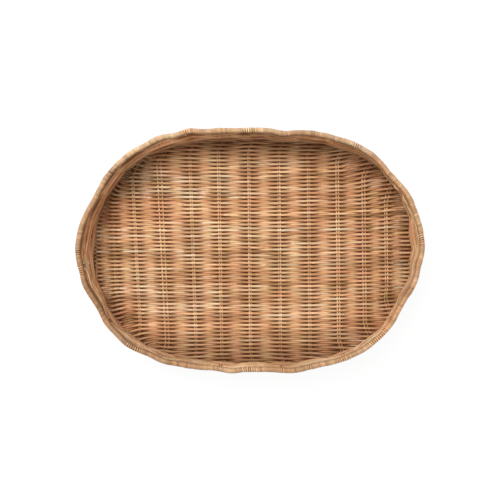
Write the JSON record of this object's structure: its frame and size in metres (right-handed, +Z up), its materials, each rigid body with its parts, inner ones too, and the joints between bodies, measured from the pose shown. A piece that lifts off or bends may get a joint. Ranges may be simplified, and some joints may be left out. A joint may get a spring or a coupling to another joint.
{
  "type": "rattan tray",
  "caption": "Oval woven rattan tray with a plain-weave floor on paired stakes, a low wall woven in bands round the stakes and a lapped cane rim.",
  "frame": {"origin": "on the standing plane, under the middle of the oval", "axes": "+X along the tray, +Y across it to the back, +Z up"},
  "size_m": [0.499, 0.3507, 0.0617],
  "materials": {
    "weaver": "natural peeled rattan core, satin, mixed tan and straw canes",
    "stake": "natural rattan cane, satin",
    "wall": "natural peeled rattan core, satin",
    "hoop": "natural rattan cane, satin",
    "lapping": "flat cane peel, slight gloss"
  },
  "bodies": {
    "root": {"floor_weaver_01": "weaver", "floor_weaver_02": "weaver", "floor_weaver_03": "weaver", "floor_weaver_04": "weaver", "floor_weaver_05": "weaver", "floor_weaver_06": "weaver", "floor_weaver_07": "weaver", "floor_weaver_08": "weaver", "floor_weaver_09": "weaver", "floor_weaver_10": "weaver", "floor_weaver_11": "weaver", "floor_weaver_12": "weaver", "floor_weaver_13": "weaver", "floor_weaver_14": "weaver", "stake_01": "stake", "stake_02": "stake", "stake_03": "stake", "stake_04": "stake", "stake_05": "stake", "stake_06": "stake", "stake_07": "stake", "stake_08": "stake", "stake_09": "stake", "stake_10": "stake", "stake_11": "stake", "end_stake_01": "stake", "end_stake_02": "stake", "end_stake_03": "stake", "end_stake_04": "stake", "end_stake_05": "stake", "end_stake_06": "stake", "end_stake_07": "stake", "end_stake_08": "stake", "foot_wale": "wall", "wall_course_1": "wall", "wall_course_2": "wall", "wall_course_3": "wall", "wall_course_4": "wall", "wall_course_5": "wall", "rim_core": "hoop", "rim_lapping": "lapping"}
  },
  "joints": []
}
